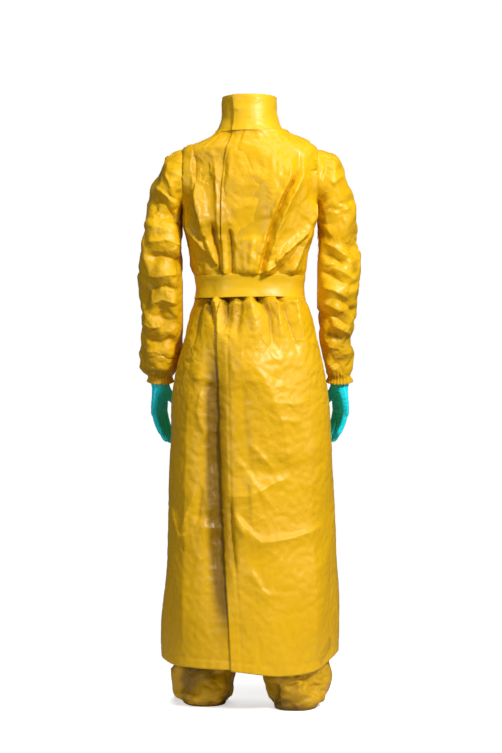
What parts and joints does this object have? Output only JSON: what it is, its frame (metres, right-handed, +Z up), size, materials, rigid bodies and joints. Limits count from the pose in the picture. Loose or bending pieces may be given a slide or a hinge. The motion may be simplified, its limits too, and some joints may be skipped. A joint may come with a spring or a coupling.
{
  "type": "protective gown set",
  "caption": "Long liquid-proof gown that closes at the back, with stand collar, tied belt, elastic cuffs, nitrile gloves and knee-high overboots.",
  "frame": {"origin": "on the floor, under the middle of the whole set's box", "axes": "+Z up, +Y the way the wearer faces, +X to the wearer's right"},
  "size_m": [0.552, 0.412, 1.5522],
  "materials": {
    "coated_cloth": "yellow polyethylene coating on thin nonwoven cloth, glossy where it is stretched, finely crumpled",
    "boot_fabric": "yellow coated nonwoven, soft gloss, heavily crumpled",
    "boot_sole": "thicker coated sheet with a fine grip pattern, matt",
    "seam_tape": "heat-sealed tape, smooth",
    "elastic": "flat woven elastic",
    "hook_and_loop": "hook and loop pile",
    "glove": "teal nitrile, satin, finely textured at the fingers"
  },
  "bodies": {
    "overboots": {"overboot_upper_left": "boot_fabric", "overboot_sole_left": "boot_sole", "overboot_top_elastic_left": "elastic", "overboot_ankle_tie_left": "boot_fabric", "overboot_upper_right": "boot_fabric", "overboot_sole_right": "boot_sole", "overboot_top_elastic_right": "elastic", "overboot_ankle_tie_right": "boot_fabric"},
    "gown": {"front_panel": "coated_cloth", "back_panel_left": "coated_cloth", "back_panel_right": "coated_cloth", "collar": "coated_cloth", "collar_hook_strip": "hook_and_loop", "collar_loop_strip": "hook_and_loop", "side_seam_tape_right": "seam_tape", "side_seam_tape_left": "seam_tape", "shoulder_seam_tape_right": "seam_tape", "shoulder_seam_tape_left": "seam_tape", "armhole_seam_tape_right": "seam_tape", "armhole_seam_tape_left": "seam_tape", "belt_band": "coated_cloth", "belt_knot": "coated_cloth"},
    "vent_flap": {"vent_flap": "coated_cloth"},
    "belt_tails": {"belt_tail_left": "coated_cloth", "belt_tail_right": "coated_cloth"},
    "sleeve_left": {"sleeve_left": "coated_cloth", "cuff_elastic_left": "elastic", "sleeve_seam_tape_left": "seam_tape"},
    "glove_left": {"glove_left": "glove"},
    "sleeve_right": {"sleeve_right": "coated_cloth", "cuff_elastic_right": "elastic", "sleeve_seam_tape_right": "seam_tape"},
    "glove_right": {"glove_right": "glove"}
  },
  "joints": [
    {"name": "gown_lift", "type": "slide", "parent": "overboots", "child": "gown", "axis": [0, 0, 1], "range_m": [0, 0.35]},
    {"name": "vent_opening", "type": "hinge", "parent": "gown", "child": "vent_flap", "pos_m": [0.14, -0.201, 0.11], "axis": [-0.2337, 0.0571, 0.9706], "range_deg": [0, 50]},
    {"name": "belt_tails_swing", "type": "hinge", "parent": "gown", "child": "belt_tails", "pos_m": [0, 0.117, 1.0285], "axis": [1, 0, 0], "range_deg": [0, 60]},
    {"name": "shoulder_left", "type": "hinge", "parent": "gown", "child": "sleeve_left", "pos_m": [-0.172, 0, 1.34], "axis": [1, 0, 0], "range_deg": [0, 90]},
    {"name": "glove_left_pull_off", "type": "slide", "parent": "sleeve_left", "child": "glove_left", "axis": [-0.06, 0.2665, -0.962], "range_m": [0, 0.12]},
    {"name": "shoulder_right", "type": "hinge", "parent": "gown", "child": "sleeve_right", "pos_m": [0.172, 0, 1.34], "axis": [1, 0, 0], "range_deg": [0, 90]},
    {"name": "glove_right_pull_off", "type": "slide", "parent": "sleeve_right", "child": "glove_right", "axis": [0.06, 0.2665, -0.962], "range_m": [0, 0.12]}
  ]
}
